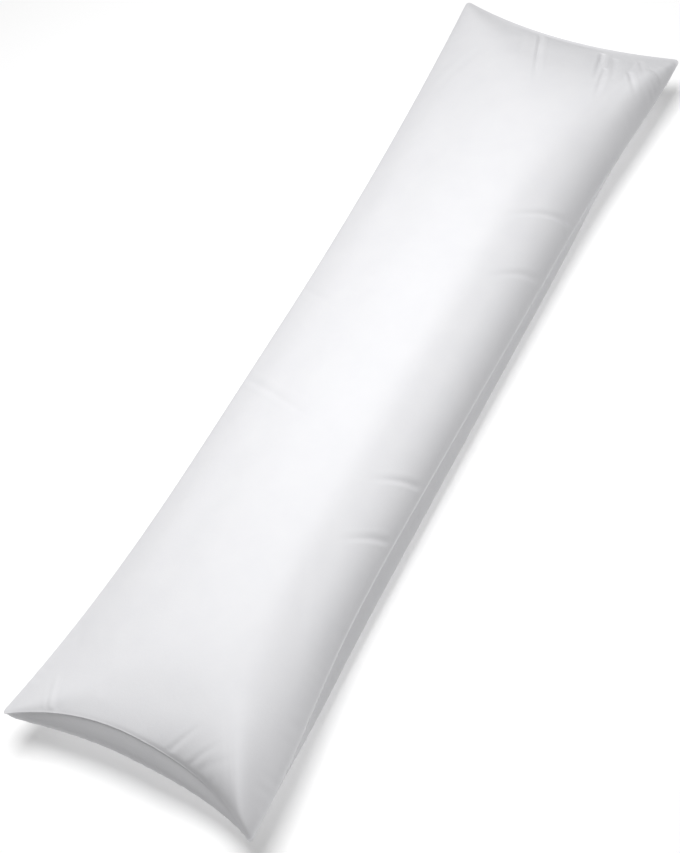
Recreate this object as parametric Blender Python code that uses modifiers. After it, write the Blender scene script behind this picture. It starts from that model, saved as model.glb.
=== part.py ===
"""Body pillow: one long rectangular pillow of smooth white cloth, filled and lying on its back.

A front panel and a back panel of one size are sewn together all round and filled. The corners
stand out as flat tips, the four edges draw in between them, the face is crowned, and the back
lies flat on the surface. +X runs along the pillow to its head end, +Y to its left edge, +Z up,
and the origin is on the surface under the middle.
"""

import math
from collections import namedtuple

import bmesh
import bpy

# Whole pillow, in metres
LENGTH = 1.417
WIDTH = 0.386
THICKNESS = 0.160
TIP_HEIGHT = 0.075
TIP_RADIUS = 0.009

# Seam lip: the turned edge that stands out all round
LIP_WIDTH = 0.004
LIP_ROOT = 0.0026

# Cage of each panel: rows along the pillow and columns across, closer together at the seams
ROWS = 34
COLUMNS = 16
ROW_CROWDING = 0.80
COLUMN_CROWDING = 1.00
CREASE_CUTS = 4

# Side seams: draw-in at mid length, how the curve sets in from each corner, lift of the seam, and
# how far the flank of the back bulges past it
Side = namedtuple("Side", "inset reach power delay lift bulge")
SIDES = {
    ("left", "head"): Side(0.0345, reach=0.70, power=1.9, delay=1.0, lift=0.0, bulge=0.030),
    ("left", "foot"): Side(0.0345, reach=0.50, power=2.6, delay=1.0, lift=0.0, bulge=0.030),
    ("right", "head"): Side(0.0195, reach=0.50, power=3.0, delay=2.7, lift=-0.004, bulge=0.022),
    ("right", "foot"): Side(0.0225, reach=0.45, power=3.0, delay=3.4, lift=0.008, bulge=0.028),
}
SIDE_BLEND = 0.5
SIDE_DRAW = 1.2
SIDE_LIFT_DRAW = 12

# End seams: draw-in and lift at mid width, the back's shoulder towards them, and how far from
# the end the bulge of the side flanks begins
End = namedtuple("End", "inset lift power fullness flank")
ENDS = {
    "head": End(inset=0.042, lift=0.018, power=6.0, fullness=0.85, flank=20),
    "foot": End(inset=0.046, lift=0.036, power=7.5, fullness=0.72, flank=4),
}
END_DRAW = 5
LIFT_DRAW = 10

# Crown of the front: its section across the width, fuller or slacker towards the right seam,
# and how far its top leans to the right
CROWN_POWER = 2.1
CROWN_FULLNESS = 0.70
RIGHT_FULLNESS = 0.76
CROWN_LEAN = 0.38

# Corners of the front: fullness towards the side and the end seam, the end shoulder, the
# sharpness of the ridge to the tip, and how the end seam draws in and droops towards the tip
Corner = namedtuple("Corner", "side end power ridge draw droop")
CORNERS = {
    ("left", "head"): Corner(side=0.70, end=1.15, power=6.0, ridge=2.6, draw=2.0, droop=1.0),
    ("left", "foot"): Corner(side=1.15, end=1.30, power=6.0, ridge=2.6, draw=2.0, droop=1.0),
    ("right", "head"): Corner(side=0.75, end=1.20, power=6.0, ridge=5.0, draw=2.0, droop=1.0),
    ("right", "foot"): Corner(side=1.02, end=0.46, power=9.0, ridge=8.0, draw=3.0, droop=3.0),
}

# Back panel: how soon it meets the surface, and where its flanks bulge most
BELLY = 1.53
BELLY_ROUND = 1.2
SIDE_BULGE_LOW = 2.0
END_BULGE = 0.032
END_BULGE_LOW = 0.95
END_BULGE_NEAR = 6
END_BULGE_ACROSS = 0.85

# Creases of the front, as lines in plan from a seam inwards. `left` is the share of the width
# that lies to the left of the line. A negative depth is a ridge.
Crease = namedtuple("Crease", "start end depth width left")
CREASES = (
    Crease((0.656, 0.032), (0.508, -0.020), depth=0.0028, width=0.015, left=0.60),
    Crease((0.656, -0.078), (0.560, -0.101), depth=0.0030, width=0.016, left=0.60),
    Crease((0.606, -0.102), (0.522, -0.118), depth=0.0022, width=0.014, left=0.60),
    Crease((0.650, -0.102), (0.572, -0.125), depth=0.0016, width=0.018, left=0.50),
    Crease((0.660, -0.133), (0.588, -0.139), depth=0.0016, width=0.014, left=0.50),
    Crease((0.618, -0.138), (0.568, -0.165), depth=0.0018, width=0.014, left=0.55),
    Crease((-0.668, -0.045), (-0.612, -0.082), depth=0.0022, width=0.014, left=0.50),
    Crease((-0.678, -0.068), (-0.622, -0.114), depth=0.0022, width=0.014, left=0.50),
    Crease((-0.675, -0.074), (-0.628, -0.146), depth=0.0014, width=0.016, left=0.50),
    Crease((-0.686, 0.119), (-0.622, 0.149), depth=-0.0015, width=0.016, left=0.50),
    Crease((0.316, -0.170), (0.244, -0.090), depth=0.0024, width=0.015, left=0.40),
    Crease((0.204, -0.170), (0.138, -0.112), depth=0.0018, width=0.015, left=0.40),
    Crease((-0.184, -0.170), (-0.228, -0.112), depth=0.0022, width=0.015, left=0.40),
    Crease((-0.275, -0.170), (-0.324, -0.116), depth=0.0018, width=0.015, left=0.40),
    Crease((0.056, 0.158), (-0.004, 0.030), depth=0.0014, width=0.018, left=0.50),
    Crease((-0.125, 0.154), (-0.182, -0.006), depth=0.0022, width=0.018, left=0.60),
    Crease((0.640, -0.172), (0.430, -0.146), depth=-0.0030, width=0.040, left=0.50),
    Crease((-0.704, -0.184), (-0.560, -0.104), depth=-0.0020, width=0.030, left=0.35),
)
CREASE_ONSET = 0.45
CREASE_SHOULDER = 0.22

# Cloth
CLOTH_COLOR = (0.84, 0.84, 0.85, 1.0)
CLOTH_ROUGHNESS = 0.85

HALF_LENGTH = LENGTH / 2 - LIP_WIDTH
HALF_WIDTH = WIDTH / 2 - LIP_WIDTH


def clear_scene():
    for item in list(bpy.data.objects):
        bpy.data.objects.remove(item, do_unlink=True)


def corner_key(across, along):
    return ("left" if across > 0 else "right", "head" if along > 0 else "foot")


def end_of(along):
    return ENDS["head" if along > 0 else "foot"]


def side_blend(across, along, name):
    """A value of the nearer side seam, passing smoothly from its foot half to its head half."""
    foot, head = (getattr(SIDES[corner_key(across, end)], name) for end in (-1, 1))
    part = max(0.0, min(1.0, (along + SIDE_BLEND) / (2 * SIDE_BLEND)))
    return foot + (head - foot) * part * part * (3 - 2 * part)


def corner_blend(across, along, name):
    """A value of the two corners at the nearer end, passing from the right one to the left one."""
    left, right = (getattr(CORNERS[corner_key(side, along)], name) for side in (1, -1))
    return right + (left - right) * (1 + across) / 2


def side_draw(across, along):
    """Draw-in of the nearer side seam at this place along the pillow."""
    side = SIDES[corner_key(across, along)]
    near = min(1.0, (1 - abs(along)) * HALF_LENGTH / side.reach)
    drawn = (1 - (1 - near) ** side.power) ** side.delay
    return side_blend(across, along, "inset") * drawn


def seam_height(across, along):
    key = corner_key(across, along)
    end_up = end_of(along).lift * (1 - across**2) ** CORNERS[key].droop
    side_up = side_blend(across, along, "lift") * across**2
    height = TIP_HEIGHT + end_up * abs(along) ** LIFT_DRAW
    return height + side_up * (1 - abs(along) ** SIDE_LIFT_DRAW)


def tip_rounding(across, along):
    """How far a place moves in from the side and from the end to turn a tip into an arc."""
    to_side = max(0.0, 1 - (1 - abs(across)) * HALF_WIDTH / TIP_RADIUS)
    to_end = max(0.0, 1 - (1 - abs(along)) * HALF_LENGTH / TIP_RADIUS)
    side_in = TIP_RADIUS * to_side * (1 - math.sqrt(1 - to_end**2 / 2))
    end_in = TIP_RADIUS * to_end * (1 - math.sqrt(1 - to_side**2 / 2))
    return side_in, end_in


def plan(across, along):
    """Where a point of the cloth lies in plan, with the edges drawn in between the corners."""
    draw = CORNERS[corner_key(across, along)].draw
    end_in = end_of(along).inset * (1 - abs(across) ** draw) * abs(along) ** END_DRAW
    side_in = side_draw(across, along) * abs(across) ** SIDE_DRAW
    side_round, end_round = tip_rounding(across, along)
    x = along * (HALF_LENGTH - end_in) - math.copysign(end_round, along)
    return x, across * (HALF_WIDTH - side_in) - math.copysign(side_round, across)


def rise(place, power, fullness):
    """Rise of the cloth from 0 at a seam to 1 at the middle of the pillow."""
    return max(0.0, 1 - abs(place) ** power) ** fullness


def crown(across, along):
    """Rises from the side and the end seam, joined with a ridge from each corner."""
    middle_full = CROWN_FULLNESS + (RIGHT_FULLNESS - CROWN_FULLNESS) * (1 - across) / 2
    corner_full = corner_blend(across, along, "side")
    fullness = middle_full + (corner_full - middle_full) * along**4
    from_side = rise(across + CROWN_LEAN * (1 - across**2), CROWN_POWER, fullness)
    power, end_full = (corner_blend(across, along, name) for name in ("power", "end"))
    from_end = rise(along, power, end_full)
    if from_side <= 0 or from_end <= 0:
        return 0.0
    ridge = corner_blend(across, along, "ridge")
    return (from_side**-ridge + from_end**-ridge - 1) ** (-1 / ridge)


def front_point(across, along):
    x, y = plan(across, along)
    root = seam_height(across, along) + LIP_ROOT / 2
    return x, y, root + (THICKNESS - root) * crown(across, along)


def back_point(across, along):
    """The back drops from the seam in a rounded flank, then rests on a four-cornered flat."""
    x, y = plan(across, along)
    root = seam_height(across, along) - LIP_ROOT / 2
    end = end_of(along)
    from_side = rise(across, CROWN_POWER, CROWN_FULLNESS)
    from_end = rise(along, end.power, end.fullness)
    reach = min(1.0, BELLY * min(from_side, from_end))
    drop = 1 - (1 - reach) ** BELLY_ROUND
    side_out = side_blend(across, along, "bulge") * abs(across) * from_end**end.flank
    end_out = END_BULGE * abs(along) ** END_BULGE_NEAR * from_side**END_BULGE_ACROSS
    x += math.copysign(end_out * math.sin(math.pi * drop**END_BULGE_LOW), along)
    y += math.copysign(side_out * math.sin(math.pi * drop**SIDE_BULGE_LOW), across)
    return x, y, root * (1 - drop)


def on_cloth(grid, segments, crowding):
    """Cloth position from -1 to 1 for a grid position, and how far out on the lip it is."""
    inner = grid * segments / (segments - 2)
    lip = max(0.0, abs(inner) - 1) * (segments - 2) / 2
    inner = max(-1.0, min(1.0, inner))
    crowded = math.sin(inner * math.pi / 2)
    return inner + crowding * (crowded - inner), math.copysign(min(1.0, lip), grid)


def cloth_place(point):
    along, lip_along = on_cloth(point.x, ROWS, ROW_CROWDING)
    across, lip_across = on_cloth(point.y, COLUMNS, COLUMN_CROWDING)
    return across, along, lip_across, lip_along


def in_space(panel_point, across, along, lip_across, lip_along):
    """A point of the panel, or of the lip that both panels share past the stitch line."""
    x, y, z = panel_point(across, along)
    z += (seam_height(across, along) - z) * max(abs(lip_across), abs(lip_along))
    return x + LIP_WIDTH * lip_along, y + LIP_WIDTH * lip_across, z


def from_crease(crease, across, along):
    """How far along a crease a point is, in its lengths, and beside it, in its half widths."""
    x, y = plan(across, along)
    (start_x, start_y), (end_x, end_y) = crease.start, crease.end
    run_x, run_y = end_x - start_x, end_y - start_y
    length = math.hypot(run_x, run_y)
    ahead = ((x - start_x) * run_x + (y - start_y) * run_y) / length**2
    beside = ((y - start_y) * run_x - (x - start_x) * run_y) / length
    share = crease.left if beside > 0 else 1 - crease.left
    return ahead, beside / (crease.width * share)


def crease_depth(across, along):
    """Depth of the creases here, each a soft trough with a low shoulder on both sides."""
    depth = 0.0
    for crease in CREASES:
        ahead, beside = from_crease(crease, across, along)
        if 0 < ahead < 1 and abs(beside) < 2:
            section = (1 - beside**2) ** 2
            if abs(beside) > 1:
                section = -CREASE_SHOULDER * math.sin(math.pi * (abs(beside) - 1)) ** 2
            depth += crease.depth * math.sin(math.pi * ahead**CREASE_ONSET) * section
    return depth


def crosses_crease(edge):
    """Whether an edge of the flat grid lies across one of the creases."""
    start, end = (vertex.co for vertex in edge.verts)
    edge_across = abs(end.y - start.y) > abs(end.x - start.x)
    across, along, lip_across, lip_along = cloth_place((start + end) / 2)
    if lip_across or lip_along:
        return False
    for crease in CREASES:
        run_x, run_y = (abs(b - a) for a, b in zip(crease.start, crease.end))
        ahead, beside = from_crease(crease, across, along)
        if (run_x > run_y) == edge_across and -0.1 < ahead < 1.05 and abs(beside) < 2.2:
            return True
    return False


def on_stitch_line(place):
    across, along, lip_across, lip_along = place
    return not lip_across and not lip_along and max(abs(across), abs(along)) == 1


def outline_flat(faces, sharp, sharp_corner):
    """Gives the flat that the back rests on a firm outline and four firm corners."""
    flat = {face for face in faces if all(vertex.co.z == 0 for vertex in face.verts)}
    for face in flat:
        for edge in face.edges:
            if not flat.issuperset(edge.link_faces):
                edge[sharp] = 1.0
        for vertex in face.verts:
            if len(flat.intersection(vertex.link_faces)) == 1:
                vertex[sharp_corner] = 1.0


def add_panel(mesh, sharp, sharp_corner, panel_point, creased):
    """Adds a panel as a flat grid, cut finer at its creases, and puts it in its place."""
    grid = bmesh.ops.create_grid(mesh, x_segments=ROWS, y_segments=COLUMNS, size=1)
    faces = list({face for vertex in grid["verts"] for face in vertex.link_faces})
    if creased:
        edges = {edge for face in faces for edge in face.edges if crosses_crease(edge)}
        bmesh.ops.subdivide_edges(
            mesh, edges=list(edges), cuts=CREASE_CUTS, use_grid_fill=True
        )
        faces = list(mesh.faces)
    else:
        bmesh.ops.reverse_faces(mesh, faces=faces)
    places = {vertex: cloth_place(vertex.co) for face in faces for vertex in face.verts}
    for vertex, place in places.items():
        vertex.co = in_space(panel_point, *place)
    mesh.normal_update()
    if creased:
        for vertex, (across, along, lip_across, lip_along) in places.items():
            if not lip_across and not lip_along:
                vertex.co -= vertex.normal * crease_depth(across, along)
    for edge in {edge for face in faces for edge in face.edges}:
        if all(on_stitch_line(places[vertex]) for vertex in edge.verts):
            edge[sharp] = 1.0
    outline_flat(faces, sharp, sharp_corner)


def cloth_material():
    material = bpy.data.materials.new("cotton_white")
    material.use_nodes = True
    shader = material.node_tree.nodes["Principled BSDF"]
    shader.inputs["Base Color"].default_value = CLOTH_COLOR
    shader.inputs["Roughness"].default_value = CLOTH_ROUGHNESS
    shader.inputs["Metallic"].default_value = 0.0
    material.diffuse_color = CLOTH_COLOR
    return material


def build_pillow(collection):
    mesh = bmesh.new()
    sharp = mesh.edges.layers.float.new("crease_edge")
    sharp_corner = mesh.verts.layers.float.new("crease_vert")
    add_panel(mesh, sharp, sharp_corner, front_point, creased=True)
    add_panel(mesh, sharp, sharp_corner, back_point, creased=False)
    rim = [vertex for vertex in mesh.verts if vertex.is_boundary]
    bmesh.ops.remove_doubles(mesh, verts=rim, dist=0.00001)
    data = bpy.data.meshes.new("pillow")
    mesh.to_mesh(data)
    mesh.free()
    data.shade_smooth()
    data.materials.append(cloth_material())
    pillow = bpy.data.objects.new("pillow", data)
    collection.objects.link(pillow)
    rounded = pillow.modifiers.new("rounded", "SUBSURF")
    rounded.levels = 1
    rounded.render_levels = 1
    return pillow


clear_scene()
body_pillow = bpy.data.collections.new("body_pillow")
bpy.context.scene.collection.children.link(body_pillow)
build_pillow(body_pillow)
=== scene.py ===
# %% [markdown]
# # A body pillow
#
# This lesson dresses a filled pillow, 1.4 m long, that lies on its back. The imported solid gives
# its true size and its place. Here the plain solid is replaced by a cloth piece with puckered
# seams, creases and a woven surface, and then it is lit and seen as in a product photograph.
#
# +X runs along the pillow to its head end, +Y to its left edge, and +Z up.

import math
from collections import namedtuple

import bmesh
import bpy
import numpy as np
from mathutils import Matrix, Vector


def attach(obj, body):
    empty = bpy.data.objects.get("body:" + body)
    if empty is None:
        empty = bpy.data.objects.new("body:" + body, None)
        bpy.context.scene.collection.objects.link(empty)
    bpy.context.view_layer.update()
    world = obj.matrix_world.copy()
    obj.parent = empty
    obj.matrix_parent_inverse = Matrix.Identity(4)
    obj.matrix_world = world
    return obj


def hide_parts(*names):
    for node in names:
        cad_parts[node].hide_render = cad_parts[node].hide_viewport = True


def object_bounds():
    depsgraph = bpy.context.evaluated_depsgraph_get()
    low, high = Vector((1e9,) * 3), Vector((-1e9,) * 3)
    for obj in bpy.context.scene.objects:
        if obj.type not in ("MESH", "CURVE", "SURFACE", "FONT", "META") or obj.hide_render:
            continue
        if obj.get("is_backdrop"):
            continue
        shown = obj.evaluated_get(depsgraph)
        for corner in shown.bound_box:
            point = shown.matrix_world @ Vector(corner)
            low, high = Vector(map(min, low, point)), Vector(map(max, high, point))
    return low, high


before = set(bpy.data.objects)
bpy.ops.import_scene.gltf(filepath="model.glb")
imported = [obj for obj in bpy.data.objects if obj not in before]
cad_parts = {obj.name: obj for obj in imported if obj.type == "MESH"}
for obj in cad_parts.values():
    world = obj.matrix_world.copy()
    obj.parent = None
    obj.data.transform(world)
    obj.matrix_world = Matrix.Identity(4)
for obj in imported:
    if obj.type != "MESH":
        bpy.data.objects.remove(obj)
cad_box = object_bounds()
print("nodes:", sorted(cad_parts), "box:", cad_box)

# %% [markdown]
# ## Camera
#
# The photograph looks down on the pillow from beside its foot, turned so that the pillow runs
# from corner to corner of the picture. A camera is easiest to describe by the point it aims at,
# its distance, its compass direction, its height angle and its turn about its own axis.

# %% Camera
CAMERA_AIM = Vector((-0.1383, -0.0123, 0.080))
CAMERA_DISTANCE = 2.0095
CAMERA_DIRECTION = math.radians(219.23)
CAMERA_ELEVATION = math.radians(58.21)
CAMERA_TURN = math.radians(-12.93)
CAMERA_LENS = 59.57

to_camera = Vector(
    (
        math.cos(CAMERA_DIRECTION) * math.cos(CAMERA_ELEVATION),
        math.sin(CAMERA_DIRECTION) * math.cos(CAMERA_ELEVATION),
        math.sin(CAMERA_ELEVATION),
    )
)
camera_data = bpy.data.cameras.new("photo_camera")
camera_data.lens = CAMERA_LENS
camera = bpy.data.objects.new("photo_camera", camera_data)
bpy.context.scene.collection.objects.link(camera)
aimed = (-to_camera).to_track_quat("-Z", "Y").to_matrix().to_4x4()
camera.matrix_world = (
    Matrix.Translation(CAMERA_AIM + to_camera * CAMERA_DISTANCE)
    @ aimed
    @ Matrix.Rotation(CAMERA_TURN, 4, "Z")
)
bpy.context.scene.camera = camera
print("camera at", [round(value, 3) for value in camera.matrix_world.translation])

# %% [markdown]
# ## The pillow's sizes
#
# A pillow is two equal rectangles of cloth, sewn together all round, turned and filled. The
# filling pulls cloth from the edges up into the crown, so each edge draws in between its two
# corners, and the corners are left standing out. No two edges of a soft thing draw in alike, so
# each half of a side, each end and each corner has a row of its own.
#
# - `Side`: `inset` is how far that half of the side seam draws in, `reach` how many metres from
#   the tip this takes, a large `power` gets there sooner and a large `delay` sets off later.
#   `lift` is how far the seam stands above the tips, and `bulge` how far the flank swells out.
# - `End`: `inset` and `lift` again, at the middle of the end seam. `power` and `fullness` round
#   the back towards that end, and a large `flank` ends the side's bulge sooner.
# - `Corner`: a small `side` or `end` makes that slope of the crown full and steep, a large `power`
#   keeps the crown high further out, and a large `ridge` sharpens the fold where the slopes meet.
#   A large `draw` keeps the end seam drawn in nearer to the tip, a large `droop` lowers it sooner.

# %% Sizes of the pillow, in metres
LENGTH = 1.415
WIDTH = 0.383
THICKNESS = 0.160
TIP_HEIGHT = 0.075
TIP_RADIUS = 0.009
CUT_LENGTH = 1.450
CUT_WIDTH = 0.400

LIP_WIDTH = 0.0010
LIP_ROOT = 0.0014
LIP_THICKNESS = 0.0018
HALF_LENGTH = LENGTH / 2 - LIP_WIDTH
HALF_WIDTH = WIDTH / 2 - LIP_WIDTH

Side = namedtuple("Side", "inset reach power delay lift bulge")
SIDES = {
    ("left", "head"): Side(0.0345, reach=0.70, power=1.9, delay=1.0, lift=0.0, bulge=0.030),
    ("left", "foot"): Side(0.0345, reach=0.50, power=2.6, delay=1.0, lift=0.0, bulge=0.030),
    ("right", "head"): Side(0.0195, reach=0.50, power=3.0, delay=2.7, lift=-0.004, bulge=0.022),
    ("right", "foot"): Side(0.0225, reach=0.45, power=3.0, delay=3.4, lift=0.008, bulge=0.028),
}
SIDE_BLEND = 0.5  # share of each half in which the foot's values turn into the head's
SIDE_DRAW = 1.2
SIDE_LIFT_DRAW = 12

End = namedtuple("End", "inset lift power fullness flank")
ENDS = {
    "head": End(inset=0.042, lift=0.018, power=6.0, fullness=0.85, flank=20),
    "foot": End(inset=0.046, lift=0.036, power=7.5, fullness=0.72, flank=4),
}
END_DRAW = 5
LIFT_DRAW = 10

CROWN_POWER = 2.1
CROWN_FULLNESS = 0.70
RIGHT_FULLNESS = 0.76
CROWN_LEAN = 0.38
Corner = namedtuple("Corner", "side end power ridge draw droop")
CORNERS = {
    ("left", "head"): Corner(side=0.70, end=1.15, power=6.0, ridge=2.6, draw=2.0, droop=1.0),
    ("left", "foot"): Corner(side=1.10, end=1.00, power=5.5, ridge=2.6, draw=2.0, droop=1.0),
    ("right", "head"): Corner(side=0.75, end=1.20, power=6.0, ridge=5.0, draw=2.0, droop=1.0),
    ("right", "foot"): Corner(side=1.02, end=0.46, power=9.0, ridge=12.0, draw=3.0, droop=3.0),
}

BELLY = 1.53  # over 1, the back comes down to the surface before its middle and lies flat there
BELLY_ROUND = 1.2
SIDE_BULGE_LOW = 2.0  # over 1, the flank is widest below half of its height
END_BULGE = 0.032
END_BULGE_LOW = 0.95
END_BULGE_NEAR = 6
END_BULGE_ACROSS = 0.85
print("cloth cut", CUT_LENGTH, "x", CUT_WIDTH, "m, corner to corner", LENGTH, "x", WIDTH, "m")

# %% [markdown]
# ## Where the cloth lies
#
# `across` runs from -1 at the right seam to 1 at the left one, and `along` from -1 at the foot
# to 1 at the head, so a pair of them names one place on the cut cloth. The functions below turn
# such a place into a point in space. Numpy arrays let one call place thousands of points.
#
# `plan` draws the edges in as seen from above and turns each tip into a small arc. The seam is
# not level: it arches up between the tips at both ends, and the right one stands a little higher
# at the foot than at the head. All these values pass smoothly from one corner to the next,
# because a step would show as a crease that the cloth doesn't have.


# %% Values of each corner and end
def corner_value(table, across, along, name):
    value = np.zeros_like(along)
    for (edge, end), row in table.items():
        here = ((across > 0) == (edge == "left")) & ((along > 0) == (end == "head"))
        value = np.where(here, getattr(row, name), value)
    return value


def end_value(along, name):
    return np.where(along > 0, getattr(ENDS["head"], name), getattr(ENDS["foot"], name))


def corner_blend(across, along, name):
    left = corner_value(CORNERS, 1.0, along, name) * (1 + across) / 2
    right = corner_value(CORNERS, -1.0, along, name) * (1 - across) / 2
    return left + right


def smooth_step(value, low, high):
    part = np.clip((value - low) / (high - low), 0, 1)
    return part * part * (3 - 2 * part)


def side_blend(across, along, name):
    """A value of the nearer side seam, which passes smoothly from its foot half to its head half."""
    foot, head = (corner_value(SIDES, across, end * np.ones_like(along), name) for end in (-1, 1))
    return foot + (head - foot) * smooth_step(along, -SIDE_BLEND, SIDE_BLEND)


# %% Seams
def side_draw(across, along):
    side = {name: corner_value(SIDES, across, along, name) for name in Side._fields}
    near = np.minimum(1, (1 - np.abs(along)) * HALF_LENGTH / side["reach"])
    drawn = (1 - (1 - near) ** side["power"]) ** side["delay"]
    return side_blend(across, along, "inset") * drawn


def seam_height(across, along):
    droop = corner_value(CORNERS, across, along, "droop")
    end_up = end_value(along, "lift") * np.abs(along) ** LIFT_DRAW
    end_up = end_up * np.maximum(0, 1 - across**2) ** droop
    side_up = side_blend(across, along, "lift") * across**2
    return TIP_HEIGHT + end_up + side_up * (1 - np.abs(along) ** SIDE_LIFT_DRAW)


def tip_rounding(across, along):
    """How far each place moves in from the side and from the end to turn a tip into an arc."""
    to_side = np.clip(1 - (1 - np.abs(across)) * HALF_WIDTH / TIP_RADIUS, 0, 1)
    to_end = np.clip(1 - (1 - np.abs(along)) * HALF_LENGTH / TIP_RADIUS, 0, 1)
    side_in = TIP_RADIUS * to_side * (1 - np.sqrt(1 - to_end**2 / 2))
    end_in = TIP_RADIUS * to_end * (1 - np.sqrt(1 - to_side**2 / 2))
    return side_in, end_in


def plan(across, along):
    draw = corner_value(CORNERS, across, along, "draw")
    end_in = end_value(along, "inset") * np.abs(along) ** END_DRAW
    end_in = end_in * (1 - np.abs(across) ** draw)
    side_in = side_draw(across, along) * np.abs(across) ** SIDE_DRAW
    side_round, end_round = tip_rounding(across, along)
    x = along * (HALF_LENGTH - end_in) - np.sign(along) * end_round
    return x, across * (HALF_WIDTH - side_in) - np.sign(across) * side_round


# %% [markdown]
# ## Crown and back
#
# The front rises from the seams in a crown. Filling never spreads evenly, and here the crown leans
# to the right, so its left slope is long and its right one short. A ridge runs in from each
# corner, where the side slope meets the end slope. The back drops from the seam in round flanks
# and then lies flat, as a soft thing sinks under its own weight to rest on a surface.


# %% Crown
def from_side(across, fullness):
    return np.maximum(0, 1 - np.abs(across) ** CROWN_POWER) ** fullness


def from_end(along, power, fullness):
    return np.maximum(0, 1 - np.abs(along) ** power) ** fullness


def crown(across, along):
    middle_full = CROWN_FULLNESS + (RIGHT_FULLNESS - CROWN_FULLNESS) * (1 - across) / 2
    side_full = corner_blend(across, along, "side") * along**4 + middle_full * (1 - along**4)
    side = from_side(across + CROWN_LEAN * (1 - across**2), side_full)
    power = corner_blend(across, along, "power")
    end = from_end(along, power, corner_blend(across, along, "end"))
    ridge = corner_blend(across, along, "ridge")
    low = np.maximum(1e-6, np.minimum(side, end))
    high = np.maximum(low, np.maximum(side, end))
    joined = low**-ridge + high**-ridge - 1
    return np.where(low > 1e-6, joined ** (-1 / ridge), 0.0)


# %% Front and back
def front_points(across, along):
    x, y = plan(across, along)
    root = seam_height(across, along) + LIP_ROOT / 2
    return np.stack([x, y, root + (THICKNESS - root) * crown(across, along)], axis=1)


def back_points(across, along):
    x, y = plan(across, along)
    root = seam_height(across, along) - LIP_ROOT / 2
    side = from_side(across, CROWN_FULLNESS)
    end = from_end(along, end_value(along, "power"), end_value(along, "fullness"))
    reach = np.minimum(1, BELLY * np.minimum(side, end))
    drop = 1 - (1 - reach) ** BELLY_ROUND
    bulge = side_blend(across, along, "bulge")
    side_out = bulge * np.abs(across) * end ** end_value(along, "flank")
    end_out = END_BULGE * np.abs(along) ** END_BULGE_NEAR * side**END_BULGE_ACROSS
    x = x + np.sign(along) * end_out * np.sin(np.pi * drop**END_BULGE_LOW)
    y = y + np.sign(across) * side_out * np.sin(np.pi * drop**SIDE_BULGE_LOW)
    return np.stack([x, y, root * (1 - drop)], axis=1)


middle = front_points(np.zeros(1), np.zeros(1))[0]
print("crown height at the middle", round(float(middle[2]), 4))

# %% [markdown]
# ## Two panels of cloth
#
# Each panel starts as a flat grid, which Blender makes in one call. Every point remembers its
# place on the cut cloth in a few attributes, so that seams, creases and weave can be laid out on
# the cloth and still follow it into space. Rows crowd at the seams, where cloth bends most. Then
# each point of the two panels is moved to its place in space.

# %% Panels
GRID_ROWS = 160
GRID_COLUMNS = 48
ROW_CROWDING = 0.50
COLUMN_CROWDING = 0.35


def crowd(position, crowding):
    return position + crowding * (np.sin(position * np.pi / 2) - position)


def add_panel(cloth, place, points_of, facing_up):
    grid = bmesh.ops.create_grid(
        cloth, x_segments=GRID_ROWS, y_segments=GRID_COLUMNS, size=1
    )["verts"]
    faces = list({face for vertex in grid for face in vertex.link_faces})
    along = crowd(np.array([vertex.co.x for vertex in grid]), ROW_CROWDING)
    across = crowd(np.array([vertex.co.y for vertex in grid]), COLUMN_CROWDING)
    for vertex, s, t, point in zip(grid, across, along, points_of(across, along)):
        vertex[place["across"]] = s
        vertex[place["along"]] = t
        vertex[place["front"]] = float(facing_up)
        vertex.co = Vector(point.tolist())
    if not facing_up:
        bmesh.ops.reverse_faces(cloth, faces=faces)
    rim = {edge for face in faces for edge in face.edges if edge.is_boundary}
    return [edge for edge in cloth.edges if edge in rim]


cloth = bmesh.new()
place = {name: cloth.verts.layers.float.new(name) for name in ("across", "along", "front")}
front_rim = add_panel(cloth, place, front_points, True)
back_rim = add_panel(cloth, place, back_points, False)
print("panel points", len(cloth.verts), "rim edges", len(front_rim), len(back_rim))

# %% [markdown]
# ## The turned seam
#
# The panels are sewn face to face and turned right side out, so the seam allowance ends up
# inside and pushes the edge out into a small rounded lip. The two rims are bridged, the bridge
# is cut into strips, and the strips are bent round a bead a little thicker than its root. The
# dip at the root is where the thread pulls the cloth together.

# %% Seam lip
LIP_STRIPS = 4
LIP_WRAP = math.radians(140)
AT_SEAM = 0.9999

bridge = bmesh.ops.bridge_loops(cloth, edges=front_rim + back_rim)
rungs = [edge for edge in bridge["edges"] if edge not in set(front_rim + back_rim)]
cut_rungs = bmesh.ops.subdivide_edges(cloth, edges=rungs, cuts=LIP_STRIPS - 1)
lip = [item for item in cut_rungs["geom_inner"] if isinstance(item, bmesh.types.BMVert)]


def outward(vertex):
    """Which way is out at a seam: past the ends along X, past the sides along Y."""
    s, t = vertex[place["across"]], vertex[place["along"]]
    return Vector((math.trunc(t / AT_SEAM), math.trunc(s / AT_SEAM), 0))


for vertex in lip:
    turn = (2 * vertex[place["front"]] - 1) * LIP_WRAP
    middle_height = float(seam_height(vertex[place["across"]], vertex[place["along"]]))
    vertex.co += outward(vertex) * LIP_WIDTH / 2 * (1 + math.cos(turn))
    vertex.co.z = middle_height + LIP_THICKNESS / 2 * math.sin(turn)
print("lip points", len(lip), "lip reach", LIP_WIDTH)

# %% [markdown]
# ## The cut map
#
# A UV map in metres of the cut cloth lets the weave run with the threads, however the cloth is
# bent. It is as if each panel still lay flat on the cutting table. With the map drawn, the sewn
# cloth becomes an object of the scene.

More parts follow.
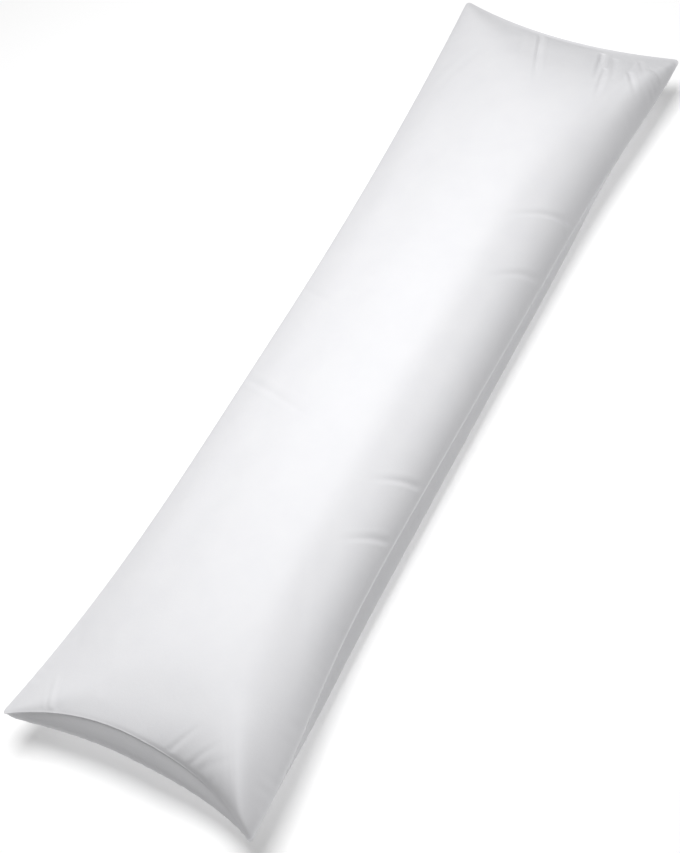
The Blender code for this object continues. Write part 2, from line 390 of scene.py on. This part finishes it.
# %% Cut map
cut_map = cloth.loops.layers.uv.new("cut")
lip_points = set(lip)
for face in cloth.faces:
    for loop in face.loops:
        vertex = loop.vert
        past = LIP_WIDTH if vertex in lip_points else 0.0
        out = outward(vertex) * past
        loop[cut_map].uv = (
            vertex[place["along"]] * CUT_LENGTH / 2 + out.x,
            vertex[place["across"]] * CUT_WIDTH / 2 + out.y,
        )
bmesh.ops.recalc_face_normals(cloth, faces=cloth.faces)
print("faces", len(cloth.faces), "litres inside", round(cloth.calc_volume() * 1000, 1))

# %% Sewn pillow
sewn_mesh = bpy.data.meshes.new("body_pillow_cloth")
cloth.to_mesh(sewn_mesh)
cloth.free()
pillow_cloth = bpy.data.objects.new("body_pillow_cloth", sewn_mesh)
bpy.context.scene.collection.objects.link(pillow_cloth)

# %% [markdown]
# ## Filling the pillow
#
# Fibre filling presses on the cloth from inside, which rounds the slopes and lets the little
# extra length that the seam takes up buckle in soft hollows. Blender's Cloth modifier does the
# same with air pressure: the seam, the four tips and the face on the surface are held, the cloth
# near the seams is let out by two per cent, and the pressure pushes on the rest. The buckles are
# kept near the seams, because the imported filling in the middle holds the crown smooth, and no
# point may move far, so the pillow keeps its measured size.


# %% Helpers for the mesh
def read_points(mesh):
    points = np.empty(len(mesh.vertices) * 3, np.float32)
    mesh.vertices.foreach_get("co", points)
    return points.reshape(-1, 3).astype(float)


def write_points(mesh, points):
    mesh.vertices.foreach_set("co", points.astype(np.float32).ravel())
    mesh.update()


def read_attribute(mesh, name):
    values = np.empty(len(mesh.vertices), np.float32)
    mesh.attributes[name].data.foreach_get("value", values)
    return values.astype(float)


def evaluated_mesh(piece):
    graph = bpy.context.evaluated_depsgraph_get()
    return bpy.data.meshes.new_from_object(piece.evaluated_get(graph), depsgraph=graph)


# %% Held and loose cloth
# Each pair is a distance from the seam or tip where a weight starts to fade and one where it ends.
HELD_NEAR_SEAM = (0.004, 0.018)
HELD_NEAR_TIP = (0.060, 0.150)
LOOSE_NEAR_SEAM = (0.020, 0.110)
BUCKLE_REACH = (0.055, 0.130)
FLOOR_CONTACT = 0.001


def from_seams(mesh):
    """Distances in metres on the cut cloth to the side seam and to the end seam."""
    to_side = (1 - np.abs(read_attribute(mesh, "across"))) * CUT_WIDTH / 2
    to_end = (1 - np.abs(read_attribute(mesh, "along"))) * CUT_LENGTH / 2
    return to_side, to_end


def weigh(piece, name, weights):
    group = piece.vertex_groups.new(name=name)
    for index, weight in enumerate(weights):
        if weight > 0:
            group.add([index], float(weight), "REPLACE")


to_side, to_end = from_seams(sewn_mesh)
rest_points = read_points(sewn_mesh)
held_by_seam = 1 - smooth_step(np.minimum(to_side, to_end), *HELD_NEAR_SEAM)
held_by_tip = 1 - smooth_step(np.maximum(to_side, to_end), *HELD_NEAR_TIP)
held = np.maximum(held_by_seam, held_by_tip)
held[rest_points[:, 2] < FLOOR_CONTACT] = 1
loose = 1 - smooth_step(np.minimum(to_side, to_end), *LOOSE_NEAR_SEAM)
weigh(pillow_cloth, "held", held)
weigh(pillow_cloth, "loose", loose)
print("held points", int((held == 1).sum()), "of", len(held))

# %% Press from inside
PRESSURE = 4.0
LET_OUT = 0.020
FILL_FRAMES = 20
LONGEST_MOVE = 0.022
NO_MOVE = 1e-9

filling = pillow_cloth.modifiers.new("filling", "CLOTH")
settings = filling.settings
settings.quality = 6
settings.mass = 0.25
settings.tension_stiffness = 40
settings.compression_stiffness = 40
settings.shear_stiffness = 15
settings.bending_stiffness = 0.6
settings.vertex_group_mass = "held"
settings.vertex_group_shrink = "loose"
settings.shrink_min = 0
settings.shrink_max = -LET_OUT
settings.use_pressure = True
settings.uniform_pressure_force = PRESSURE
settings.effector_weights.gravity = 0
filling.collision_settings.use_collision = False
for frame_number in range(1, FILL_FRAMES + 1):
    bpy.context.scene.frame_set(frame_number)
filled_mesh = evaluated_mesh(pillow_cloth)
moves = read_points(filled_mesh) - rest_points
lengths = np.linalg.norm(moves, axis=1, keepdims=True)
moves *= np.minimum(1, LONGEST_MOVE / np.maximum(lengths, NO_MOVE))
moves *= 1 - smooth_step(np.minimum(to_side, to_end), *BUCKLE_REACH)[:, None]
filled_points = rest_points + moves
filled_points[:, 2] = np.maximum(filled_points[:, 2], 0)
pillow_cloth.modifiers.remove(filling)
write_points(sewn_mesh, filled_points)
bpy.data.meshes.remove(filled_mesh)
bpy.context.scene.frame_set(1)
longest = np.linalg.norm(moves, axis=1).max()
print("longest move", round(float(longest) * 1000, 1), "mm")

# %% [markdown]
# ## Finer cloth
#
# One level of subdivision rounds the filled shape and gives the creases that follow enough
# points. It is applied here, because the creases are pressed into its points.

# %% Subdivide
rounding = pillow_cloth.modifiers.new("rounding", "SUBSURF")
rounding.levels = 1
rounding.render_levels = 1
fine_mesh = evaluated_mesh(pillow_cloth)
pillow_cloth.modifiers.remove(rounding)
pillow_cloth.vertex_groups.clear()
pillow_cloth.data = fine_mesh
bpy.data.meshes.remove(sewn_mesh)
fine_mesh.name = "body_pillow_cloth"
print("triangles", 2 * len(fine_mesh.polygons))

# %% [markdown]
# ## Creases
#
# Where the seam is shorter than the cloth that it holds, the cloth folds into creases that run
# in from the seam and fade out on the crown. Each one is a straight line in plan from `start` at
# the seam to `end`, a soft trough with a low shoulder on both sides. `left` is the share of its
# width that lies to the left of that line, so a crease can have one steep side and one gentle
# one. A negative depth makes a ridge, as in the last two rows, which are the broad folds beside
# the two right corners. The cloth's grid is cut finer along the narrow creases first.

# %% Table of creases, in metres
Crease = namedtuple("Crease", "start end depth width left")
CREASES = (
    Crease((0.656, 0.032), (0.508, -0.020), depth=0.0024, width=0.012, left=0.65),
    Crease((0.640, 0.053), (0.574, 0.037), depth=0.0006, width=0.014, left=0.50),
    Crease((0.656, -0.078), (0.560, -0.101), depth=0.0027, width=0.013, left=0.60),
    Crease((0.606, -0.102), (0.522, -0.118), depth=0.0019, width=0.011, left=0.60),
    Crease((0.650, -0.102), (0.572, -0.125), depth=0.0012, width=0.017, left=0.50),
    Crease((0.660, -0.133), (0.588, -0.139), depth=0.0008, width=0.013, left=0.50),
    Crease((0.665, -0.137), (0.612, -0.165), depth=0.0008, width=0.011, left=0.60),
    Crease((0.618, -0.138), (0.568, -0.165), depth=0.0014, width=0.011, left=0.55),
    Crease((-0.668, -0.045), (-0.612, -0.082), depth=0.0011, width=0.010, left=0.50),
    Crease((-0.678, -0.068), (-0.622, -0.114), depth=0.0011, width=0.010, left=0.50),
    Crease((-0.675, -0.074), (-0.628, -0.146), depth=0.0006, width=0.015, left=0.50),
    Crease((-0.686, 0.119), (-0.622, 0.149), depth=-0.0009, width=0.013, left=0.50),
    Crease((-0.690, 0.129), (-0.650, 0.146), depth=-0.0007, width=0.010, left=0.50),
    Crease((0.316, -0.170), (0.244, -0.090), depth=0.0021, width=0.011, left=0.40),
    Crease((0.204, -0.170), (0.138, -0.112), depth=0.0015, width=0.011, left=0.40),
    Crease((-0.184, -0.170), (-0.228, -0.112), depth=0.0018, width=0.011, left=0.40),
    Crease((-0.275, -0.170), (-0.324, -0.116), depth=0.0014, width=0.011, left=0.40),
    Crease((0.056, 0.158), (-0.004, 0.030), depth=0.0008, width=0.016, left=0.50),
    Crease((-0.125, 0.154), (-0.182, -0.006), depth=0.0013, width=0.015, left=0.60),
    Crease((0.640, -0.172), (0.430, -0.146), depth=-0.0030, width=0.040, left=0.50),
    Crease((-0.704, -0.184), (-0.560, -0.104), depth=-0.0020, width=0.030, left=0.35),
)
CREASE_ONSET = 0.45  # under 1, a crease is deepest nearer to its seam
CREASE_SHOULDER = 0.22
CREASE_FADE = (0.001, 0.010)
FINE_CREASE = 0.020
FINE_REACH = 1.3
ON_FRONT = 0.999


def from_crease(crease, points):
    """How far a point is along a crease, in its lengths, and how far beside it, in metres."""
    start, end = np.array(crease.start), np.array(crease.end)
    length = np.linalg.norm(end - start)
    ahead = (end - start) / length
    offset = points[:, :2] - start
    along_crease = offset @ ahead / length
    return along_crease, offset @ np.array((-ahead[1], ahead[0]))


def trough(beside):
    inside = np.maximum(0, 1 - beside**2) ** 2
    shoulder = np.where(
        (np.abs(beside) > 1) & (np.abs(beside) < 2), np.sin(np.pi * (np.abs(beside) - 1)) ** 2, 0
    )
    return inside - CREASE_SHOULDER * shoulder


def crease_depth(points):
    depth = np.zeros(len(points))
    for crease in CREASES:
        along_crease, beside = from_crease(crease, points)
        reach = np.sin(np.pi * np.clip(along_crease, 0, 1) ** CREASE_ONSET)
        side = crease.width * np.where(beside > 0, crease.left, 1 - crease.left)
        depth += crease.depth * reach * trough(beside / side)
    return depth


# %% Finer grid along the creases
def near_crease(points):
    near = np.zeros(len(points), bool)
    for crease in CREASES:
        if crease.width < FINE_CREASE:
            along_crease, beside = from_crease(crease, points)
            inside = (along_crease > 0) & (along_crease < 1)
            near |= inside & (np.abs(beside) < FINE_REACH * crease.width)
    return near


finer = bmesh.new()
finer.from_mesh(fine_mesh)
front_layer = finer.verts.layers.float["front"]
faces = [face for face in finer.faces if all(v[front_layer] > ON_FRONT for v in face.verts)]
centers = np.array([face.calc_center_median()[:] for face in faces])
creased = [face for face, near in zip(faces, near_crease(centers)) if near]
edges = list({edge for face in creased for edge in face.edges})
bmesh.ops.subdivide_edges(finer, edges=edges, cuts=1, use_grid_fill=True)
finer.to_mesh(fine_mesh)
finer.free()
fine_mesh.calc_loop_triangles()
print("faces cut finer", len(creased), "triangles now", len(fine_mesh.loop_triangles))


# %% Press the creases in
def vertex_normals(mesh):
    normals = np.empty(len(mesh.vertices) * 3, np.float32)
    mesh.vertices.foreach_get("normal", normals)
    return normals.reshape(-1, 3).astype(float)


points = read_points(fine_mesh)
on_front = read_attribute(fine_mesh, "front") > ON_FRONT
seam_fade = smooth_step(np.minimum(*from_seams(fine_mesh)), *CREASE_FADE)
depth = np.where(on_front, crease_depth(points) * seam_fade, 0.0)
write_points(fine_mesh, points - vertex_normals(fine_mesh) * depth[:, None])
print("deepest crease", round(float(depth.max()) * 1000, 1), "mm")

# %% [markdown]
# ## Puckers along the seams
#
# The sewing thread gathers the cloth a little, so small even puckers stand along every seam and
# die out within a few centimetres. They are a wave along the seam whose pitch and height drift,
# as hand feeding of the cloth makes them, a little stronger on the back panel.

# %% Puckers
PUCKER_PITCH = 0.019
PUCKER_HEIGHT = {"front": 0.00028, "back": 0.00040}
PUCKER_START = 0.35
PUCKER_PEAK = 0.007
PUCKER_END = 0.026
HEIGHT_DRIFT = 4.1
HEIGHT_SWING = 0.4
PITCH_DRIFT = 7.3
PITCH_SWING = 1.9
SIDE_PHASE = {"front": 3.0, "back": 1.0}
END_PHASE = {"front": 5.0, "back": 2.0}
CLEAR_OF_FLOOR = 0.010


def by_panel(values, front):
    """The back's value where `front` is 0, the front's where it is 1, a blend on the lip."""
    return values["back"] + (values["front"] - values["back"]) * front


def gathered(position, phase):
    turn = 2 * np.pi * position / PUCKER_PITCH
    strength = (1 - HEIGHT_SWING) + HEIGHT_SWING * np.sin(turn / HEIGHT_DRIFT + phase)
    return strength * np.sin(turn + PITCH_SWING * np.sin(turn / PITCH_DRIFT + phase))


def pucker_reach(distance):
    rise = PUCKER_START + (1 - PUCKER_START) * smooth_step(distance, 0, PUCKER_PEAK)
    return rise * (1 - smooth_step(distance, PUCKER_PEAK, PUCKER_END))


def puckers(mesh):
    points = read_points(mesh)
    front = read_attribute(mesh, "front")
    to_side, to_end = from_seams(mesh)
    on_side = pucker_reach(to_side) * gathered(points[:, 0], by_panel(SIDE_PHASE, front))
    on_end = pucker_reach(to_end) * gathered(points[:, 1], by_panel(END_PHASE, front))
    above_floor = smooth_step(points[:, 2], 0.0, CLEAR_OF_FLOOR)
    return by_panel(PUCKER_HEIGHT, front) * (on_side + on_end) * above_floor


raised = puckers(fine_mesh)
write_points(fine_mesh, read_points(fine_mesh) + vertex_normals(fine_mesh) * raised[:, None])
print("highest pucker", round(float(raised.max()) * 1000, 2), "mm")

# %% [markdown]
# ## In place of the solid
#
# The finished cloth takes the place of the imported solid. It rides on the root body.

# %% The cloth replaces the solid
for polygon in fine_mesh.polygons:
    polygon.use_smooth = True
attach(pillow_cloth, "root")
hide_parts("pillow")

# %% [markdown]
# ## Cotton percale
#
# The cover is bleached cotton percale: fine combed yarns in a plain weave, one over and one
# under, about four threads to the millimetre. Bleaching leaves a clean, very slightly cool
# white. The weave is too fine to see from a step away, so the cloth looks matt and even, with
# only the faintest grain. Yarns differ a little in thickness, which shows as a faint cloudiness,
# and short fibre ends standing off the surface give a soft sheen at grazing angles.


# %% Node helpers
def srgb(hex_code):
    """A colour written as in a paint chart, turned into the linear values a shader takes."""
    parts = [int(hex_code[i : i + 2], 16) / 255 for i in (1, 3, 5)]
    linear = [c / 12.92 if c <= 0.04045 else ((c + 0.055) / 1.055) ** 2.4 for c in parts]
    return (*linear, 1.0)


def add_node(material, kind, settings=None, inputs=None):
    """Adds a node. A setting is one of its properties, an input a value or an output socket."""
    node = material.node_tree.nodes.new(kind)
    for name, value in (settings or {}).items():
        setattr(node, name, value)
    for name, value in (inputs or {}).items():
        if isinstance(value, bpy.types.NodeSocket):
            material.node_tree.links.new(value, node.inputs[name])
        else:
            node.inputs[name].default_value = value
    return node


def new_material(name):
    material = bpy.data.materials.new(name)
    material.use_nodes = True
    material.node_tree.nodes.clear()
    return material


def finish_material(material, shader):
    add_node(material, "ShaderNodeOutputMaterial", {}, {"Surface": shader.outputs[0]})


# %% Weave
# Real percale has a thread every 0.25 mm. It is drawn at 0.8 mm so that it shows close up.
THREAD_PITCH = 0.0008
THREAD_HEIGHT = 0.00006


def weave_height(material, cloth_place):
    """Height of a plain weave: two sets of threads, each over and under the other."""
    heights = []
    for direction in ("X", "Y"):
        threads = add_node(
            material,
            "ShaderNodeTexWave",
            {"wave_type": "BANDS", "bands_direction": direction, "wave_profile": "SIN"},
            {
                "Vector": cloth_place,
                "Scale": 2 * math.pi / (20 * THREAD_PITCH),
                "Distortion": 0.4,
                "Detail": 1.0,
                "Detail Scale": 0.6,
            },
        )
        heights.append(threads.outputs["Fac"])
    woven = add_node(material, "ShaderNodeMath", {"operation": "MULTIPLY"})
    material.node_tree.links.new(heights[0], woven.inputs[0])
    material.node_tree.links.new(heights[1], woven.inputs[1])
    return woven.outputs[0]


# %% Cloth material
CLOTH_WHITE = srgb("#EAEAEC")
CLOTH_SHADE = srgb("#E4E4E7")
CLOUD_SIZE = 0.045
SLUB_SIZE = 0.004
SLUB_HEIGHT = 0.0003
# A colour mix takes its two colours at inputs 6 and 7 and gives the result at output 2.
FIRST_COLOR, SECOND_COLOR, MIXED_COLOR = 6, 7, 2

percale = new_material("cotton_percale_white")
on_cloth = add_node(percale, "ShaderNodeUVMap", {"uv_map": "cut"}).outputs["UV"]
in_space = add_node(percale, "ShaderNodeTexCoord").outputs["Object"]
clouds = add_node(
    percale,
    "ShaderNodeTexNoise",
    {},
    {"Vector": in_space, "Scale": 1 / CLOUD_SIZE, "Detail": 3.0, "Roughness": 0.55},
)
color = add_node(percale, "ShaderNodeMix", {"data_type": "RGBA"}, {"Factor": clouds.outputs["Fac"]})
color.inputs[FIRST_COLOR].default_value = CLOTH_WHITE
color.inputs[SECOND_COLOR].default_value = CLOTH_SHADE
slubs = add_node(
    percale,
    "ShaderNodeTexNoise",
    {},
    {"Vector": in_space, "Scale": 1 / SLUB_SIZE, "Detail": 2.0, "Roughness": 0.6},
)
rough = add_node(
    percale,
    "ShaderNodeMapRange",
    {},
    {"Value": slubs.outputs["Fac"], "To Min": 0.80, "To Max": 0.92},
)
weave_bump = add_node(
    percale,
    "ShaderNodeBump",
    {},
    {
        "Height": weave_height(percale, on_cloth),
        "Distance": THREAD_HEIGHT,
        "Strength": 0.5,
    },
)
slub_bump = add_node(
    percale,
    "ShaderNodeBump",
    {},
    {
        "Height": slubs.outputs["Fac"],
        "Distance": SLUB_HEIGHT,
        "Strength": 0.35,
        "Normal": weave_bump.outputs["Normal"],
    },
)
percale_shader = add_node(
    percale,
    "ShaderNodeBsdfPrincipled",
    {},
    {
        "Base Color": color.outputs[MIXED_COLOR],
        "Roughness": rough.outputs[0],
        "IOR": 1.45,
        "Sheen Weight": 0.06,
        "Sheen Roughness": 0.5,
        "Normal": slub_bump.outputs["Normal"],
    },
)
finish_material(percale, percale_shader)
pillow_cloth.data.materials.append(percale)
print("cloth material nodes", len(percale.node_tree.nodes))

# %% [markdown]
# ## Studio
#
# Product photographs of white goods stand on a sweep of paper that the light turns fully white,
# so only a soft shadow is left of it. The paper here is a pale grey that glows, as paper lit from
# behind does, which keeps its shadow light.

# %% Floor
PAPER_WHITE = srgb("#E2E2E2")
PAPER_GLOW = 0.48
PAPER_GRAIN_SCALE = 300.0
FLOOR_HALF = 8.0
paper = new_material("studio_paper")
paper_grain = add_node(
    paper,
    "ShaderNodeTexNoise",
    {},
    {
        "Vector": add_node(paper, "ShaderNodeTexCoord").outputs["Object"],
        "Scale": PAPER_GRAIN_SCALE,
        "Detail": 2.0,
    },
)
paper_rough = add_node(
    paper,
    "ShaderNodeMapRange",
    {},
    {"Value": paper_grain.outputs["Fac"], "To Min": 0.90, "To Max": 0.96},
)
paper_shader = add_node(
    paper,
    "ShaderNodeBsdfPrincipled",
    {},
    {
        "Base Color": PAPER_WHITE,
        "Roughness": paper_rough.outputs[0],
        "Emission Color": PAPER_WHITE,
        "Emission Strength": PAPER_GLOW,
    },
)
finish_material(paper, paper_shader)
sheet = bmesh.new()
bmesh.ops.create_grid(sheet, x_segments=1, y_segments=1, size=FLOOR_HALF)
floor_mesh = bpy.data.meshes.new("studio_floor")
sheet.to_mesh(floor_mesh)
sheet.free()
floor = bpy.data.objects.new("studio_floor", floor_mesh)
floor.data.materials.append(paper)
bpy.context.scene.collection.objects.link(floor)
floor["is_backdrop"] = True
print("paper", 2 * FLOOR_HALF, "m wide, glow", PAPER_GLOW)

# %% [markdown]
# ## Light
#
# One soft light, a metre wide, hangs 2.2 m above the middle and a little towards the left edge.
# So the crown is brightest, both ends are a little dimmer and the right flank falls into shade.
# A dim white room fills the rest.

# %% Lights
LIGHT_PLACE = Vector((0.01, 0.15, 2.2))
LIGHT_AIM = Vector((0.0, 0.0, 0.1))
LIGHT_SIZE = 1.0
LIGHT_POWER = 52.0
ROOM_LIGHT = 0.06

light_data = bpy.data.lights.new("soft_light", "AREA")
light_data.shape = "SQUARE"
light_data.size = LIGHT_SIZE
light_data.energy = LIGHT_POWER
soft_light = bpy.data.objects.new("soft_light", light_data)
soft_light.matrix_world = Matrix.Translation(LIGHT_PLACE) @ (
    (LIGHT_PLACE - LIGHT_AIM).to_track_quat("Z", "Y").to_matrix().to_4x4()
)
bpy.context.scene.collection.objects.link(soft_light)

room = bpy.data.worlds.new("white_room")
room.use_nodes = True
room.node_tree.nodes["Background"].inputs["Color"].default_value = (1.0, 1.0, 1.0, 1.0)
room.node_tree.nodes["Background"].inputs["Strength"].default_value = ROOM_LIGHT
bpy.context.scene.world = room
bpy.context.scene.view_settings.view_transform = "Standard"
print("light", LIGHT_POWER, "W, room", ROOM_LIGHT)

# %% [markdown]
# ## Size
#
# The cloth has to keep the imported solid's size. Both boxes are printed.

# %% Print the boxes
visual_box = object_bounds()
sizes = {
    "cad": [list(corner) for corner in cad_box],
    "visual": [list(corner) for corner in visual_box],
}
for name, (low, high) in sizes.items():
    print(name, [round(1000 * (b - a), 1) for a, b in zip(low, high)], "mm")
